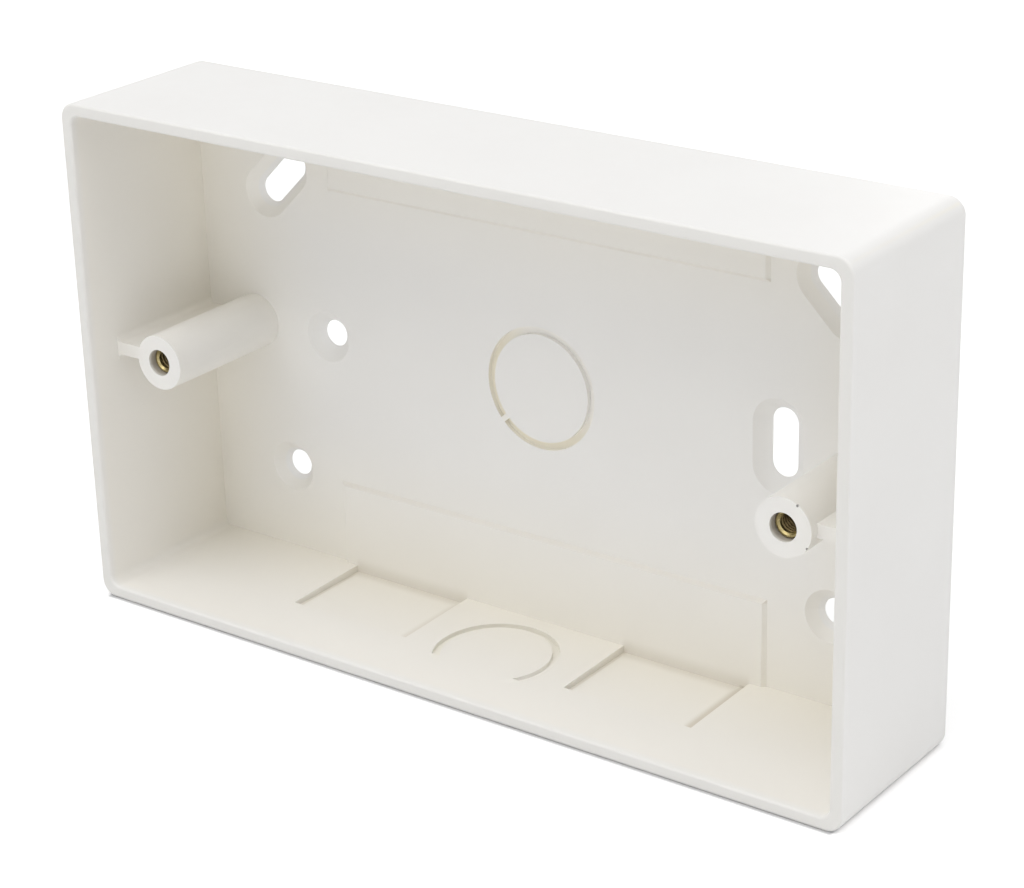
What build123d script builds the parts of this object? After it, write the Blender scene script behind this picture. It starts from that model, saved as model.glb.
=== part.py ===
from build123d import *
import os

# Frame: X runs to the right, Z runs up and the open front looks along -Y.
# The origin is the centre of the rear face, which lies on the wall.

# Screws of the accessory plate, and how far their posts stand in from the ends of the box
screw_pitch = 120.6
post_inset = 13.2

# Box
width = screw_pitch + 2 * post_inset
height = 88.0
depth = 32.0
corner_radius = 2.8
rear_edge_radius = 0.8
rim_edge_radius = 0.45

# Walls; the cavity narrows towards the back panel so that the moulding leaves its tool
wall = 2.1
back_thickness = 2.5
draft_angle = 1.0
cavity_corner_radius = 1.8

# Screw posts
post_diameter = 9.4
post_recess = 4.7
tip_hole_diameter = 3.8
tip_hole_floor = 4.0

# Webs that tie the posts to the side walls
web_thickness = 2.2
web_recess = 1.6
web_root_radius = 1.2

# Threaded inserts, pressed into the posts down to a shoulder
insert_diameter = 4.5
insert_length = 9.0
insert_clearance = 0.05
insert_recess = 1.3
insert_chamfer = 0.25
thread_diameter = 3.5
thread_pitch = 0.6
thread_mouth_angle = 90.0
insert_groove_width = 2.0
insert_groove_depth = 0.2

# Countersunk fixings in the back panel, placed from the outside of the box
fixing_diameter = 4.6
countersink_diameter = 9.0
countersink_angle = 90.0
slot_travel = 6.8
corner_slot_angle = 45.0
corner_fixing_end_inset = 19.4
corner_fixing_edge_inset = 17.9
side_fixing_inset = 29.1

# Raised pads with sloping edges along the top and bottom of the back panel
pad_end_inset = 30.7
pad_edge_inset = 17.8
pad_rise = 0.6
pad_edge_angle = 45.0

# Round knockouts: one small tie crosses the groove in the back panel, and the grooves in the
# top and bottom walls stop at a land towards the rim
knockout_radius = 10.5
groove_width = 1.3
groove_skin = 1.7
tie_width = 0.9
tie_angle = 222.0
conduit_centre = 16.5
groove_reach = 22.0

# Rectangular trunking knockouts, thinned from the inside of the top and bottom walls
trunking_offset = 28.0
trunking_width = 24.0
trunking_reach = 20.0
trunking_skin = 1.4

# How close an edge must lie to its place to be picked
near = 0.01

os.makedirs("parts", exist_ok=True)

half_width = width / 2
half_height = height / 2
corner_fixing_x = half_width - corner_fixing_end_inset
corner_fixing_z = half_height - corner_fixing_edge_inset
side_fixing_x = half_width - side_fixing_inset
post_front = depth - post_recess
web_front = post_front - web_recess
insert_front = post_front - insert_recess
post_bore_diameter = insert_diameter + insert_clearance
post_positions = [(-screw_pitch / 2, 0), (screw_pitch / 2, 0)]
thread_bore_diameter = thread_diameter - thread_pitch
countersink_land = back_thickness - (countersink_diameter - fixing_diameter) / 2
pad_face = back_thickness + pad_rise


def on_rear(distance):
    """Plane parallel to the rear face, this far in front of it and facing the opening."""
    return Plane.XZ.offset(distance)


with BuildPart() as back_box:
    # Outer shell
    with BuildSketch(on_rear(0)):
        RectangleRounded(width, height, corner_radius)
    extrude(amount=depth)
    fillet(back_box.faces().sort_by(Axis.Y)[-1].edges(), radius=rear_edge_radius)

    # Cavity, tapered from the rim down to the back panel
    with BuildSketch(on_rear(depth)):
        RectangleRounded(width - 2 * wall, height - 2 * wall, cavity_corner_radius)
    extrude(amount=-(depth - back_thickness), taper=draft_angle, mode=Mode.SUBTRACT)
    fillet(back_box.faces().sort_by(Axis.Y)[0].edges(), radius=rim_edge_radius)

    # Pads on the back panel, run into the top and bottom walls
    with BuildSketch(on_rear(back_thickness)):
        pad_inner_z = half_height - pad_edge_inset
        pad_outer_z = half_height - wall / 2
        for side in (-1, 1):
            with Locations((0, side * (pad_inner_z + pad_outer_z) / 2)):
                Rectangle(width - 2 * pad_end_inset, pad_outer_z - pad_inner_z)
    extrude(amount=pad_rise, taper=pad_edge_angle)

    # Webs with rounded roots at the side walls, and the posts that they hold
    with BuildSketch(on_rear(back_thickness)):
        web_outer_x = half_width - wall / 2
        for side in (-1, 1):
            with Locations((side * (screw_pitch / 2 + web_outer_x) / 2, 0)):
                Rectangle(web_outer_x - screw_pitch / 2, web_thickness)
    extrude(amount=web_front - back_thickness)
    web_roots = [
        edge
        for edge in back_box.edges()
        if abs(abs(edge.center().Z) - web_thickness / 2) < near
        and half_width - 2 * wall < abs(edge.center().X) < half_width - wall / 2
        and edge.length > (web_front - back_thickness) / 2
    ]
    fillet(web_roots, radius=web_root_radius)
    with BuildSketch(on_rear(back_thickness)):
        with Locations(*post_positions):
            Circle(post_diameter / 2)
    extrude(amount=post_front - back_thickness)

    # Bores of the posts: the wide part holds the insert, the narrow part takes the screw tip
    with BuildSketch(on_rear(post_front)):
        with Locations(*post_positions):
            Circle(post_bore_diameter / 2)
    extrude(amount=-(insert_recess + insert_length), mode=Mode.SUBTRACT)
    with BuildSketch(on_rear(post_front)):
        with Locations(*post_positions):
            Circle(tip_hole_diameter / 2)
    extrude(amount=-(post_front - tip_hole_floor), mode=Mode.SUBTRACT)

    # Round countersunk fixings: lower corners and the left side
    with Locations(on_rear(back_thickness)):
        with Locations(
            (-corner_fixing_x, -corner_fixing_z),
            (corner_fixing_x, -corner_fixing_z),
            (-side_fixing_x, 0),
        ):
            CounterSinkHole(
                radius=fixing_diameter / 2,
                counter_sink_radius=countersink_diameter / 2,
                depth=back_thickness,
                counter_sink_angle=countersink_angle,
            )

    # Slotted countersunk fixings: slanted in the upper corners, upright on the right side
    slots = [
        (-corner_fixing_x, corner_fixing_z, corner_slot_angle),
        (corner_fixing_x, corner_fixing_z, -corner_slot_angle),
        (side_fixing_x, 0, 90),
    ]
    with BuildSketch(on_rear(0)):
        for slot_x, slot_z, turn in slots:
            with Locations((slot_x, slot_z)):
                SlotCenterToCenter(slot_travel, fixing_diameter, rotation=turn)
    extrude(amount=back_thickness, mode=Mode.SUBTRACT)
    with BuildSketch(on_rear(countersink_land)):
        for slot_x, slot_z, turn in slots:
            with Locations((slot_x, slot_z)):
                SlotCenterToCenter(slot_travel, fixing_diameter, rotation=turn)
    extrude(
        amount=back_thickness - countersink_land,
        taper=-countersink_angle / 2,
        mode=Mode.SUBTRACT,
    )

    # Round knockout in the back panel
    with BuildSketch(on_rear(groove_skin)):
        Circle(knockout_radius)
        Circle(knockout_radius - groove_width, mode=Mode.SUBTRACT)
        with Locations(Location((0, 0), tie_angle)):
            with Locations((knockout_radius - groove_width / 2, 0)):
                Rectangle(2 * groove_width, tie_width, mode=Mode.SUBTRACT)
    extrude(amount=back_thickness, mode=Mode.SUBTRACT)

    # Knockouts in the bottom and top walls, cut from inside to an even thickness
    for side in (-1, 1):
        inwards = -side * 2 * wall
        with BuildSketch(Plane.XY.offset(side * (half_height - groove_skin))):
            with Locations((0, -conduit_centre)):
                Circle(knockout_radius)
                Circle(knockout_radius - groove_width, mode=Mode.SUBTRACT)
            with Locations((0, -groove_reach)):
                Rectangle(
                    2 * knockout_radius,
                    knockout_radius,
                    align=(Align.CENTER, Align.MAX),
                    mode=Mode.SUBTRACT,
                )
        extrude(amount=inwards, mode=Mode.SUBTRACT)
        with BuildSketch(Plane.XY.offset(side * (half_height - trunking_skin))):
            for trunking_x in (-trunking_offset, trunking_offset):
                with Locations((trunking_x, -(pad_face + trunking_reach) / 2)):
                    Rectangle(trunking_width, trunking_reach - pad_face)
        extrude(amount=inwards, mode=Mode.SUBTRACT)

back_box.part.label = "back_box"
export_step(back_box.part, "parts/back_box.step")


def threaded_insert(centre_x):
    """Turned insert with a waist between its two gripping bands and a bore for the screw."""
    with BuildPart() as insert:
        with BuildSketch(on_rear(insert_front)):
            with Locations((centre_x, 0)):
                Circle(insert_diameter / 2)
        extrude(amount=-insert_length)
        ends = insert.edges().filter_by(GeomType.CIRCLE)
        chamfer(ends, length=insert_chamfer)
        with BuildSketch(on_rear(insert_front - insert_length / 2)):
            with Locations((centre_x, 0)):
                Circle(insert_diameter / 2 + insert_clearance)
                Circle(insert_diameter / 2 - insert_groove_depth, mode=Mode.SUBTRACT)
        extrude(amount=insert_groove_width / 2, both=True, mode=Mode.SUBTRACT)
        with Locations(on_rear(insert_front)):
            with Locations((centre_x, 0)):
                CounterSinkHole(
                    radius=thread_bore_diameter / 2,
                    counter_sink_radius=thread_diameter / 2,
                    depth=insert_length,
                    counter_sink_angle=thread_mouth_angle,
                )
    return insert


for name, (centre_x, _) in zip(("insert_left", "insert_right"), post_positions):
    insert = threaded_insert(centre_x)
    insert.part.label = name
    export_step(insert.part, f"parts/{name}.step")
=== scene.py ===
from math import cos, pi, radians, sin

import bmesh
import bpy
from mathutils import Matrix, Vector


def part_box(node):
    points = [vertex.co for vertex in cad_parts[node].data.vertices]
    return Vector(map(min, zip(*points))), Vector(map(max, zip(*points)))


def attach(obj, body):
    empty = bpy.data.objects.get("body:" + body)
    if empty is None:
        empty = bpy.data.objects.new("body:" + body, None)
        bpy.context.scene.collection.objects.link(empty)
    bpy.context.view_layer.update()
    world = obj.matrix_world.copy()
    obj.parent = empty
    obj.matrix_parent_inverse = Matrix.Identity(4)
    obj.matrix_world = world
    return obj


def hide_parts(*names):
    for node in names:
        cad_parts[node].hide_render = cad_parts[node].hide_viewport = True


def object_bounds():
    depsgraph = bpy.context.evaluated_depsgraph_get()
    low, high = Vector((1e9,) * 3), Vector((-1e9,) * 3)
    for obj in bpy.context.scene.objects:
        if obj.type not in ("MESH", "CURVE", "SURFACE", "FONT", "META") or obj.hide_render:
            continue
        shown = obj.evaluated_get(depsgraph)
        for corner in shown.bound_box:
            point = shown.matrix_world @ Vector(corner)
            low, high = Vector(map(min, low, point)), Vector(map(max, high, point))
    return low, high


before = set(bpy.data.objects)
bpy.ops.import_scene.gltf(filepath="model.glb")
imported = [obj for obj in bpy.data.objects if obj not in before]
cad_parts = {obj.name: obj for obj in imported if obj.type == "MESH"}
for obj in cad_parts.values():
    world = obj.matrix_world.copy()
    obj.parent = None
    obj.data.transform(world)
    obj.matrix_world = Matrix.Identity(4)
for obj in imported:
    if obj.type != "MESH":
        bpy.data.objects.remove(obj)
cad_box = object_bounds()

# Camera of the photograph: place and clipping in metres, turn in degrees, lens in millimetres
CAMERA_PLACE = (0.2458, -0.3376, 0.1643)
CAMERA_TURN = (67.3006, 1.4347, 36.3325)
CAMERA_LENS = 97.727
SENSOR_WIDTH = 36.0
CLIP_START = 0.01

# Soft square lamps aimed at the middle of the part: place and width in metres, power in watts
LAMPS = {
    "overhead": ((0.0, -0.02, 1.0), 1.2, 4.3),
    "high_front": ((0.0, -0.45, 1.0), 0.8, 3.4),
    "high_left": ((-0.5, -0.8, 0.8), 0.8, 2.2),
    "left": ((-1.1, -0.5, 0.5), 0.8, 1.85),
    "low_front": ((0.1, -1.2, 0.12), 0.8, 1.85),
    "front_right": ((0.9, -0.8, 0.45), 0.8, 1.0),
    "right": ((1.2, 0.15, 0.5), 0.8, 5.1),
    "rear": ((-0.3, 1.2, 0.2), 0.5, 2.5),
}
WORLD_STRENGTH = 0.13
WHITE = (1.0, 1.0, 1.0)

# Floor, in metres, with its white tones and its painted contact shadow where the box stands
FLOOR_HALF_SIZE = 3.0
FLOOR_TONES = ((0.93, 0.93, 0.93), (0.95, 0.95, 0.95))
# Painted contact shadow on the floor round the footprint
CONTACT_SHADOW_TONE = (0.58, 0.58, 0.59)
FLOOR_ROUGHNESS = 0.9
FLOOR_GLOSS = 0.1

# White that the floor gains where the camera sees it: round the box, far away, and the share of it
# that is left right at the edge of the box, where less white paints a contact shadow
LIFT_NEAR = 0.35
LIFT_FAR = 1.0
LIFT_AT_EDGE = 0.1

# Colours of the moulding, with painted light and shade in its cavity, grooves, creases, rim and
# mouths, and dirt in its nicks
PVC_OPEN = ((0.886, 0.876, 0.858), (0.900, 0.892, 0.874))
# Painted warm light inside the cavity, warmer towards the back panel
PVC_INSIDE_WARM_LIGHT = (0.903, 0.881, 0.834)
PVC_DEEP_WARM_LIGHT = (0.931, 0.898, 0.818)
# Painted light that lifts the grooves' shade, and a painted amber glow of light through the back
# panel groove's thin skin
GROOVE_PAINTED_LIGHT = (0.970, 0.950, 0.905)
GROOVE_AMBER_GLOW = (0.935, 0.885, 0.745)
# Painted shade in the grooves of the top and bottom walls
GROOVE_GREY_SHADE = (0.905, 0.880, 0.800)
# Painted shade in the creases of the rectangular knockouts and on the pads' slopes
POCKET_SHADE = (0.700, 0.650, 0.560)
# Painted shade inside the mouths of the posts
MOUTH_SHADE = (0.560, 0.520, 0.470)
NICK_DIRT = (0.230, 0.220, 0.210)
# Painted shade on the rim's front face and its rounded edges
RIM_SHADE = (0.800, 0.785, 0.745)

# Colours of the brass
BRASS_TONES = ((0.30, 0.24, 0.11), (0.50, 0.42, 0.21))
# Painted shade down the bore of the brass
BRASS_BORE_SHADE = (0.13, 0.095, 0.045)

# Noises, each as features per metre and detail, and the part of a noise's range that is used
FLOOR_CLOUDS = (3.0, 3.0)
PVC_CLOUDS = (45.0, 1.0)
PVC_SHEEN = (320.0, 1.0)
PVC_RIPPLE = (150.0, 0.0)
PVC_GRAIN = (2600.0, 1.0)
BRASS_PATCHES = (900.0, 3.0)
BRASS_SHEEN = (2500.0, 3.0)
LATHE_MARKS = (6000.0, 2.0)
NOISE_MIDDLE = (0.3, 0.7)

# Surfaces: roughness as its lowest and highest value, bumps as distance in metres and strength
PVC_ROUGHNESS = (0.36, 0.46)
PVC_RIPPLE_BUMP = (0.0002, 0.12)
PVC_GRAIN_BUMP = (0.00002, 0.25)
PVC_IOR = 1.5
BRASS_ROUGHNESS = (0.24, 0.42)
LATHE_BUMP = (0.00001, 0.3)

# Places on the part, in millimetres: footprint, cavity, grooves of the round knockouts, axis of the
# conduit, ends of the rectangular knockouts and the strip at their left end, pads and posts
FOOT_HALF_WIDTH = 71.6
FOOT_HALF_DEPTH = 16.0
INNER_HALF_WIDTH = 71.2
INNER_HALF_HEIGHT = 41.7
GROOVE_RADII = (9.2, 10.5)
CONDUIT_CENTRE = 16.5
POCKET_ENDS = (16.0, 40.0)
LEFT_STRIP = (0.0, 0.6)
PAD_SLOPE_HEIGHTS = (26.2, 26.8)
PAD_SLOPE_DEPTHS = (-3.2, -2.3)
POST_X = 60.3

# How softly tints between two places fade at both, in millimetres
PANEL_GROOVE_SOFT = 0.3
WALL_GROOVE_SOFT = 0.2
LEFT_STRIP_SOFT = 0.15
POCKET_END_SOFT = 0.4
PAD_SLOPE_SOFT = 0.15
PAD_FRONT_SOFT = 0.1

# Nicks on the face of the right post: x, z and radius in millimetres, and the share of the radius
# over which they are fully dark
NICKS = ((62.6, 3.9, 0.28), (64.3, -2.4, 0.30))
NICK_MIDDLE = 0.4

# From here to the shares, a pair is a band over which something comes in, in millimetres: none of
# it at the first value and all of it at the second

# The floor's painted contact shadow in its tone, and its lift, by distance from the footprint
CONTACT_SHADOW_BAND = (0.9, 0.0)
EDGE_LIFT_BAND = (0.0, 1.4)
FAR_LIFT_BAND = (220.0, 600.0)

# The cavity's painted warm light, by distance from its walls and by y, and the painted shade on the
# rim
NEAR_WALL = (30.0, -6.0)
WITHIN_WALL = (-1.9, -1.2)
BEHIND_RIM = (-31.9, -30.0)
BEFORE_REAR = (-0.8, -1.2)
DEEP = (-24.0, -2.0)
ON_RIM = (-31.6, -31.95)

# The grooves' painted light and shade, by y, by height from the middle and along a slanting line
# across the ring
PANEL_GROOVE_FRONT = (-2.6, -2.3)
PANEL_GROOVE_REAR = (-1.0, -1.3)
WALL_GROOVE_DEPTH = (41.5, 42.1)
WALL_GROOVE_FRONT = (-24.5, -22.5)
PANEL_GROOVE_SHADED_SIDE = (9.0, -4.0)
WALL_GROOVE_SHADED_SIDE = (11.0, -2.0)
BELOW_OUTSIDE = (43.4, 43.1)

# Painted shade in the rectangular knockouts and on the pads, by height, by y and by x from an end
POCKET_DEPTH = (41.9, 42.3)
POCKET_FRONT = (-20.4, -20.1)
POCKET_REAR = (-1.0, -1.5)
POCKET_END_DEPTH = (39.6, 42.4)
POCKET_END_FRONT = (-5.6, -3.1)
RIGHT_STRIP_START = (-2.6, -1.2)
RIGHT_STRIP_STOP = (0.4, 0.2)
PAD_SLOPE_END = (43.0, 42.7)

# Painted shade in the mouths of the posts, by distance from the axis and by y, and the posts' faces
MOUTH_RADIUS = (2.5, 2.3)
MOUTH_FRONT = (-27.25, -26.4)
MOUTH_REAR = (-15.0, -16.0)
ON_POST_FACE = (-27.0, -27.2)
# Painted shade down the brass bore, by y
BORE_SHADE_DEPTH = (-25.9, -24.6)

# How strongly each tint shows where it is full
# The painted shade on the rim shows at this share
RIM_SHADE_SHARE = 0.5
LEFT_STRIP_SHARE = 0.5
RIGHT_STRIP_SHARES = {"left": 0.5, "right": 1.0}
POCKET_END_SHARE = 0.45
PAD_SLOPE_SHARE = 0.35

# Threaded inserts, in metres
THREAD_MINOR = 0.00145
THREAD_MAJOR = 0.00175
THREAD_PITCH = 0.0006
THREAD_CREST = 0.25
THREAD_ROOT = 0.125
KNURL_TEETH = 24
KNURL_DEPTH = 0.00012
WAIST_WIDTH = 0.002
WAIST_DEPTH = 0.0002
END_CHAMFER = 0.00025
AROUND = 96
STEPS_PER_PITCH = 12
SHARP_ANGLE = radians(35)


class Graph:
    """Adds nodes to a node tree. A value is a number, a colour or another node's output."""

    def __init__(self, tree):
        self.nodes = tree.nodes
        self.links = tree.links

    def feed(self, node, inputs):
        """Sets or links inputs of a node, each under its name or number."""
        for name, value in inputs.items():
            socket = node.inputs[name]
            if isinstance(value, bpy.types.NodeSocket):
                self.links.new(value, socket)
            elif isinstance(value, tuple):
                socket.default_value = (*value, 1.0)
            else:
                socket.default_value = value

    def add(self, kind, inputs, **settings):
        node = self.nodes.new(kind)
        for name, setting in settings.items():
            setattr(node, name, setting)
        self.feed(node, inputs)
        return node

    def place(self):
        """The object's own coordinates, in metres."""
        return self.add("ShaderNodeTexCoord", {}).outputs["Object"]

    def millimetres(self):
        """The object's own coordinates in millimetres, one output for each axis."""
        inputs = {0: self.place(), "Scale": 1000.0}
        scale = self.add("ShaderNodeVectorMath", inputs, operation="SCALE")
        split = self.add("ShaderNodeSeparateXYZ", {"Vector": scale.outputs["Vector"]})
        return split.outputs["X"], split.outputs["Y"], split.outputs["Z"]

    def noise(self, place, scale, detail):
        """Noise whose scale is in features per metre."""
        inputs = {"Vector": place, "Scale": scale, "Detail": detail}
        return self.add("ShaderNodeTexNoise", inputs).outputs["Fac"]

    def map_range(self, value, source, target, interpolation="LINEAR"):
        """Maps the source range to the target range and stays within it."""
        inputs = {
            "Value": value,
            "From Min": source[0],
            "From Max": source[1],
            "To Min": target[0],
            "To Max": target[1],
        }
        node = self.add("ShaderNodeMapRange", inputs, interpolation_type=interpolation)
        return node.outputs["Result"]

    def spread(self, noise, low=0.0, high=1.0):
        """Maps the middle of a noise's range to low and high."""
        return self.map_range(noise, NOISE_MIDDLE, (low, high))

    def rise(self, value, start, end):
        """Smooth step: 0 at start and before it, 1 at end and beyond it."""
        return self.map_range(value, (start, end), (0.0, 1.0), "SMOOTHSTEP")

    def between(self, value, low, high, soft):
        """1 from low to high and 0 outside, with soft edges."""
        first = self.rise(value, low - soft, low + soft)
        last = self.rise(value, high + soft, high - soft)
        return self.all_of(first, last)

    def calc(self, operation, *values):
        """One step of arithmetic."""
        node = self.add("ShaderNodeMath", dict(enumerate(values)), operation=operation)
        return node.outputs["Value"]

    def all_of(self, first, *others):
        for other in others:
            first = self.calc("MULTIPLY", first, other)
        return first

    def any_of(self, first, *others):
        for other in others:
            first = self.calc("MAXIMUM", first, other)
        return first

    def reach(self, across, up):
        """Distance from an axis."""
        squares = [self.calc("MULTIPLY", value, value) for value in (across, up)]
        return self.calc("SQRT", self.calc("ADD", *squares))

    def mix(self, factor, first, second):
        """Mixes two colours."""
        inputs = {"Factor": factor, "A": first, "B": second}
        return self.add("ShaderNodeMix", inputs, data_type="RGBA").outputs["Result"]

    def bump(self, height, distance, strength, under=None):
        """Normal of an uneven surface, laid over another normal if there is one."""
        inputs = {"Height": height, "Distance": distance, "Strength": strength}
        if under is not None:
            inputs["Normal"] = under
        return self.add("ShaderNodeBump", inputs).outputs["Normal"]


def new_material(name):
    material = bpy.data.materials.new(name)
    material.use_nodes = True
    graph = Graph(material.node_tree)
    return material, graph, graph.nodes["Principled BSDF"]


def moved(places, offset):
    return tuple(place + offset for place in places)


# White moulding. Each of the next functions gives where a tint lies, some with the tint's colour;
# all but the nicks, which are dirt, are painted light and shade

def cavity_warm_light(graph, x, y, z):
    """Painted warm light: a warmer tone of the cavity towards its walls, deeper towards the back
    panel.
    """
    gap = graph.calc(
        "MINIMUM",
        graph.calc("SUBTRACT", INNER_HALF_WIDTH, graph.calc("ABSOLUTE", x)),
        graph.calc("SUBTRACT", INNER_HALF_HEIGHT, graph.calc("ABSOLUTE", z)),
    )
    where = graph.all_of(
        graph.rise(gap, *NEAR_WALL),
        graph.rise(gap, *WITHIN_WALL),
        graph.rise(y, *BEHIND_RIM),
        graph.rise(y, *BEFORE_REAR),
    )
    return where, graph.mix(graph.rise(y, *DEEP), PVC_INSIDE_WARM_LIGHT, PVC_DEEP_WARM_LIGHT)


def panel_groove(graph, x, y, z):
    """Painted light and shade in the groove of the knockout in the back panel: an amber painted
    glow towards the lower left, painted light lifting its shade towards the upper right.
    """
    where = graph.all_of(
        graph.between(graph.reach(x, z), *GROOVE_RADII, PANEL_GROOVE_SOFT),
        graph.rise(y, *PANEL_GROOVE_FRONT),
        graph.rise(y, *PANEL_GROOVE_REAR),
    )
    shaded_side = graph.rise(graph.calc("ADD", x, z), *PANEL_GROOVE_SHADED_SIDE)
    return where, graph.mix(shaded_side, GROOVE_PAINTED_LIGHT, GROOVE_AMBER_GLOW)


def wall_grooves(graph, x, y, z):
    """Painted shade in the grooves of the round knockouts in the top and bottom walls, grey towards
    the back left, lifted by painted light towards the front right.
    """
    height = graph.calc("ABSOLUTE", z)
    along = graph.calc("ADD", y, CONDUIT_CENTRE)
    where = graph.all_of(
        graph.between(graph.reach(x, along), *GROOVE_RADII, WALL_GROOVE_SOFT),
        graph.rise(height, *WALL_GROOVE_DEPTH),
        graph.rise(height, *BELOW_OUTSIDE),
        graph.rise(y, *WALL_GROOVE_FRONT),
    )
    shaded_side = graph.rise(graph.calc("SUBTRACT", x, along), *WALL_GROOVE_SHADED_SIDE)
    return where, graph.mix(shaded_side, GROOVE_PAINTED_LIGHT, GROOVE_GREY_SHADE)


def pocket_crease_shade(graph, x, y, z):
    """Painted shade along the sides and inner end of the rectangular knockouts and on the pads'
    slopes.
    """
    width = graph.calc("ABSOLUTE", x)
    height = graph.calc("ABSOLUTE", z)
    near_end, far_end = POCKET_ENDS
    pockets = {"left": (-far_end, -near_end), "right": (near_end, far_end)}
    strips = []
    for side, (left_end, right_end) in pockets.items():
        strips.append(graph.all_of(
            graph.rise(x, *moved(RIGHT_STRIP_START, right_end)),
            graph.rise(x, *moved(RIGHT_STRIP_STOP, right_end)),
            RIGHT_STRIP_SHARES[side],
        ))
        strips.append(graph.all_of(
            graph.between(x, *moved(LEFT_STRIP, left_end), LEFT_STRIP_SOFT),
            LEFT_STRIP_SHARE,
        ))
    sides = graph.all_of(
        graph.rise(height, *POCKET_DEPTH),
        graph.rise(height, *BELOW_OUTSIDE),
        graph.rise(y, *POCKET_FRONT),
        graph.rise(y, *POCKET_REAR),
        graph.any_of(*strips),
    )
    end = graph.all_of(
        graph.rise(y, *POCKET_END_FRONT),
        graph.rise(y, *POCKET_REAR),
        graph.rise(height, *POCKET_END_DEPTH),
        graph.rise(height, *BELOW_OUTSIDE),
        graph.between(width, *POCKET_ENDS, POCKET_END_SOFT),
        POCKET_END_SHARE,
    )
    slope = graph.all_of(
        graph.between(height, *PAD_SLOPE_HEIGHTS, PAD_SLOPE_SOFT),
        graph.between(y, *PAD_SLOPE_DEPTHS, PAD_FRONT_SOFT),
        graph.rise(width, *PAD_SLOPE_END),
        PAD_SLOPE_SHARE,
    )
    return graph.any_of(sides, end, slope)


def mouth_shade(graph, x, y, z):
    """Painted shade in the mouths of the posts."""
    from_axis = graph.calc("SUBTRACT", graph.calc("ABSOLUTE", x), POST_X)
    return graph.all_of(
        graph.rise(graph.reach(from_axis, z), *MOUTH_RADIUS),
        graph.rise(y, *MOUTH_FRONT),
        graph.rise(y, *MOUTH_REAR),
    )


def nicks(graph, x, y, z):
    """Small nicks on the face of the right post."""
    spots = []
    for nick_x, nick_z, size in NICKS:
        across = graph.calc("SUBTRACT", x, nick_x)
        up = graph.calc("SUBTRACT", z, nick_z)
        spots.append(graph.rise(graph.reach(across, up), size, size * NICK_MIDDLE))
    return graph.all_of(graph.any_of(*spots), graph.rise(y, *ON_POST_FACE))


def white_pvc():
    """Slightly cloudy moulding with a fine satin surface."""
    material, graph, shader = new_material("white_pvc")
    place = graph.place()
    x, y, z = graph.millimetres()
    colour = graph.mix(graph.spread(graph.noise(place, *PVC_CLOUDS)), *PVC_OPEN)
    tints = (
        # painted warm light in the cavity
        cavity_warm_light(graph, x, y, z),
        # painted shade on the rim's front face and its rounded edges
        (graph.all_of(graph.rise(y, *ON_RIM), RIM_SHADE_SHARE), RIM_SHADE),
        # painted light and glow in the back panel's groove
        panel_groove(graph, x, y, z),
        # painted shade and light in the grooves of the top and bottom walls
        wall_grooves(graph, x, y, z),
        # painted shade in the knockouts' creases and on the pads' slopes
        (pocket_crease_shade(graph, x, y, z), POCKET_SHADE),
        # painted shade in the posts' mouths
        (mouth_shade(graph, x, y, z), MOUTH_SHADE),
        (nicks(graph, x, y, z), NICK_DIRT),
    )
    for where, tint in tints:
        colour = graph.mix(where, colour, tint)
    ripple = graph.bump(graph.noise(place, *PVC_RIPPLE), *PVC_RIPPLE_BUMP)
    graph.feed(shader, {
        "Base Color": colour,
        "Roughness": graph.spread(graph.noise(place, *PVC_SHEEN), *PVC_ROUGHNESS),
        "Normal": graph.bump(graph.noise(place, *PVC_GRAIN), *PVC_GRAIN_BUMP, under=ripple),
        "IOR": PVC_IOR,
    })
    return material


def turned_brass():
    """Brass that is dulled in patches and darkened down the bore by painted shade, with fine lathe
    marks.
    """
    material, graph, shader = new_material("turned_brass")
    place = graph.place()
    _, y, _ = graph.millimetres()
    colour = graph.mix(graph.spread(graph.noise(place, *BRASS_PATCHES)), *BRASS_TONES)
    graph.feed(shader, {
        # painted shade darkens the brass down the bore
        "Base Color": graph.mix(graph.rise(y, *BORE_SHADE_DEPTH), colour, BRASS_BORE_SHADE),
        "Metallic": 1.0,
        "Roughness": graph.spread(graph.noise(place, *BRASS_SHEEN), *BRASS_ROUGHNESS),
        "Normal": graph.bump(graph.noise(place, *LATHE_MARKS), *LATHE_BUMP),
    })
    return material


def studio_floor():
    """White floor with a painted contact shadow where the box stands, and all white to the camera
    far from it.
    """
    material, graph, shader = new_material("studio_floor")
    x, y, _ = graph.millimetres()
    from_middle = graph.calc("ADD", y, FOOT_HALF_DEPTH)
    gaps = []
    for value, half in ((x, FOOT_HALF_WIDTH), (from_middle, FOOT_HALF_DEPTH)):
        gap = graph.calc("SUBTRACT", graph.calc("ABSOLUTE", value), half)
        gaps.append(graph.calc("MAXIMUM", gap, 0.0))
    away = graph.reach(*gaps)
    tone = graph.spread(graph.noise(graph.place(), *FLOOR_CLOUDS))
    colour = graph.mix(tone, *FLOOR_TONES)
    lift = graph.all_of(
        graph.map_range(graph.rise(away, *FAR_LIFT_BAND), (0.0, 1.0), (LIFT_NEAR, LIFT_FAR)),
        # less white at the edge of the footprint: painted contact shadow
        graph.map_range(graph.rise(away, *EDGE_LIFT_BAND), (0.0, 1.0), (LIFT_AT_EDGE, 1.0)),
    )
    rays = graph.add("ShaderNodeLightPath", {})
    graph.feed(shader, {
        # painted contact shadow round the footprint
        "Base Color": graph.mix(graph.rise(away, *CONTACT_SHADOW_BAND), colour, CONTACT_SHADOW_TONE),
        "Roughness": FLOOR_ROUGHNESS,
        "Specular IOR Level": FLOOR_GLOSS,
        "Emission Color": WHITE,
        "Emission Strength": graph.calc("MULTIPLY", rays.outputs["Is Camera Ray"], lift),
    })
    return material


def thread_depth(turns):
    """Share of the thread's full depth at this part of a turn, from crest to root."""
    phase = abs((turns % 1.0) - 0.5) * 2
    flank = 1.0 - THREAD_CREST - THREAD_ROOT
    return min(1.0, max(0.0, (phase - THREAD_CREST) / flank))


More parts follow.
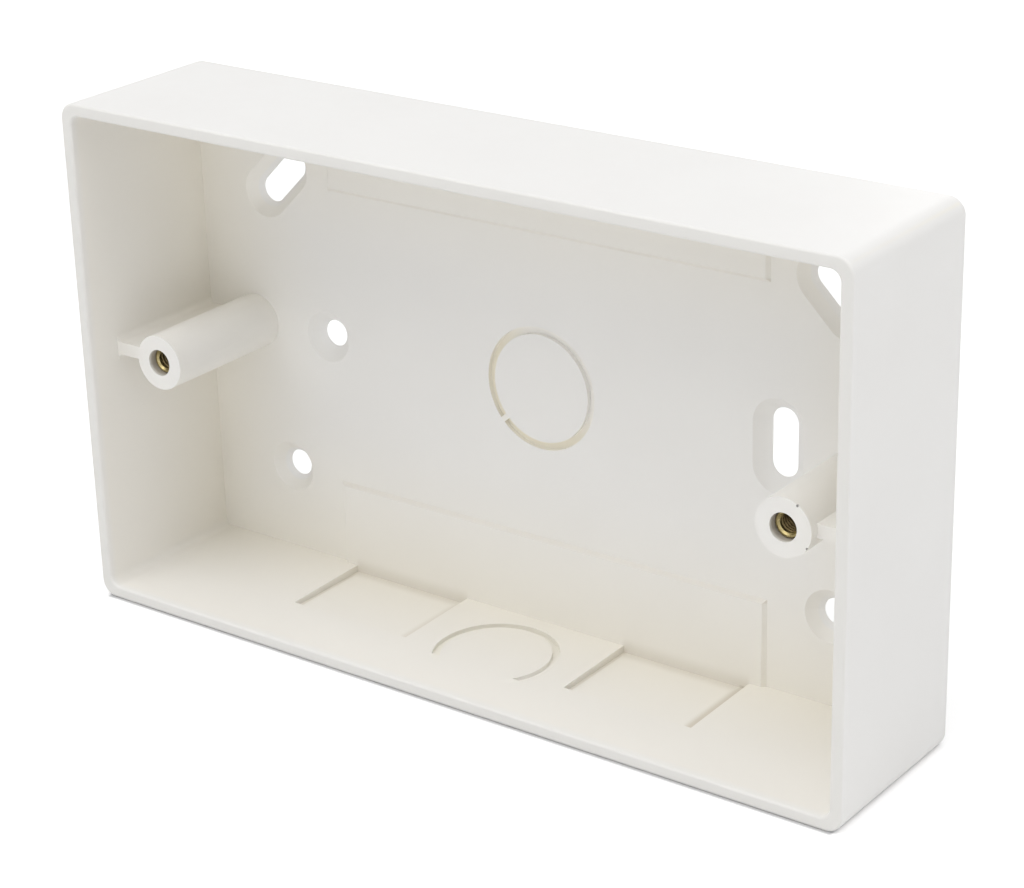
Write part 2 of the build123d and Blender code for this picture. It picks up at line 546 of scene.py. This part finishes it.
def threaded_insert(node, material):
    """One closed turned form whose radius follows the knurls outside and the thread inside."""
    low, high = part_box(node)
    centre_x = (low.x + high.x) / 2
    centre_z = (low.z + high.z) / 2
    front, back = low.y, high.y
    outer = (high.x - low.x) / 2
    length = back - front
    middle = (front + back) / 2
    mouth_depth = THREAD_MAJOR - THREAD_MINOR

    def plain(radius):
        return lambda angle: radius

    def knurl(angle):
        tooth = abs((angle * KNURL_TEETH / (2 * pi)) % 1.0 - 0.5) * 2
        return outer - KNURL_DEPTH * tooth

    def bore(y):
        fade = min(1.0, (y - front - mouth_depth) / THREAD_PITCH, (back - y) / THREAD_PITCH)

        def radius(angle):
            turns = (y - front) / THREAD_PITCH - angle / (2 * pi)
            return THREAD_MINOR + mouth_depth * thread_depth(turns) * max(0.0, fade)

        return radius

    rings = [
        (plain(outer - END_CHAMFER), back),
        (knurl, back - END_CHAMFER),
        (knurl, middle + WAIST_WIDTH / 2),
        (plain(outer - WAIST_DEPTH), middle + WAIST_WIDTH / 2),
        (plain(outer - WAIST_DEPTH), middle - WAIST_WIDTH / 2),
        (knurl, middle - WAIST_WIDTH / 2),
        (knurl, front + END_CHAMFER),
        (plain(outer - END_CHAMFER), front),
        (plain(THREAD_MAJOR), front),
    ]
    steps = round((length - mouth_depth) / THREAD_PITCH * STEPS_PER_PITCH)
    for step in range(steps + 1):
        y = front + mouth_depth + (length - mouth_depth) * step / steps
        rings.append((bore(y), y))

    mesh = bpy.data.meshes.new(f"{node}_threaded")
    form = bmesh.new()
    grid = []
    for radius_at, y in rings:
        row = []
        for part in range(AROUND):
            angle = 2 * pi * part / AROUND
            radius = radius_at(angle)
            place = (centre_x + radius * cos(angle), y, centre_z + radius * sin(angle))
            row.append(form.verts.new(place))
        grid.append(row)
    for row, next_row in zip(grid, grid[1:] + grid[:1]):
        for part in range(AROUND):
            after = (part + 1) % AROUND
            form.faces.new((row[part], row[after], next_row[after], next_row[part]))
    bmesh.ops.recalc_face_normals(form, faces=form.faces)
    form.to_mesh(mesh)
    form.free()
    mesh.shade_smooth()
    mesh.set_sharp_from_angle(angle=SHARP_ANGLE)
    piece = bpy.data.objects.new(f"{node}_threaded", mesh)
    bpy.context.scene.collection.objects.link(piece)
    piece.data.materials.append(material)
    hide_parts(node)
    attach(piece, "root")


def floor(height):
    mesh = bpy.data.meshes.new("floor")
    form = bmesh.new()
    bmesh.ops.create_grid(form, x_segments=1, y_segments=1, size=FLOOR_HALF_SIZE)
    form.to_mesh(mesh)
    form.free()
    piece = bpy.data.objects.new("floor", mesh)
    piece.location.z = height
    bpy.context.scene.collection.objects.link(piece)
    piece.data.materials.append(studio_floor())


def soft_lamp(name, place, aim, width, power):
    lamp = bpy.data.lights.new(name, "AREA")
    lamp.shape = "SQUARE"
    lamp.size = width
    lamp.energy = power
    lamp_object = bpy.data.objects.new(name, lamp)
    lamp_object.location = place
    direction = Vector(aim) - Vector(place)
    lamp_object.rotation_euler = direction.to_track_quat("-Z", "Y").to_euler()
    bpy.context.scene.collection.objects.link(lamp_object)


def studio_world():
    """Even pale light, and plain white where the camera or a reflection sees past the floor."""
    world = bpy.data.worlds.new("studio")
    bpy.context.scene.world = world
    world.use_nodes = True
    graph = Graph(world.node_tree)
    rays = graph.add("ShaderNodeLightPath", {})
    seen = graph.any_of(rays.outputs["Is Camera Ray"], rays.outputs["Is Glossy Ray"])
    graph.feed(graph.nodes["Background"], {
        "Color": WHITE,
        "Strength": graph.map_range(seen, (0.0, 1.0), (WORLD_STRENGTH, 1.0)),
    })


def photograph_camera():
    camera_data = bpy.data.cameras.new("camera")
    camera_data.lens = CAMERA_LENS
    camera_data.sensor_width = SENSOR_WIDTH
    camera_data.clip_start = CLIP_START
    camera = bpy.data.objects.new("camera", camera_data)
    camera.location = CAMERA_PLACE
    camera.rotation_euler = [radians(turn) for turn in CAMERA_TURN]
    bpy.context.scene.collection.objects.link(camera)
    bpy.context.scene.camera = camera


# The moulding keeps its solid and gets its material, and threaded pieces stand for the inserts
pvc = white_pvc()
back_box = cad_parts["back_box"]
if not back_box.data.materials:
    back_box.data.materials.append(pvc)
for slot in back_box.material_slots:
    slot.material = pvc

brass = turned_brass()
for insert in ("insert_left", "insert_right"):
    threaded_insert(insert, brass)

# Floor, light and camera
low_corner, high_corner = cad_box
centre = (low_corner + high_corner) / 2
floor(low_corner.z)
studio_world()
for name, (place, width, power) in LAMPS.items():
    soft_lamp(name, place, centre, width, power)
photograph_camera()
bpy.context.scene.view_settings.view_transform = "Standard"
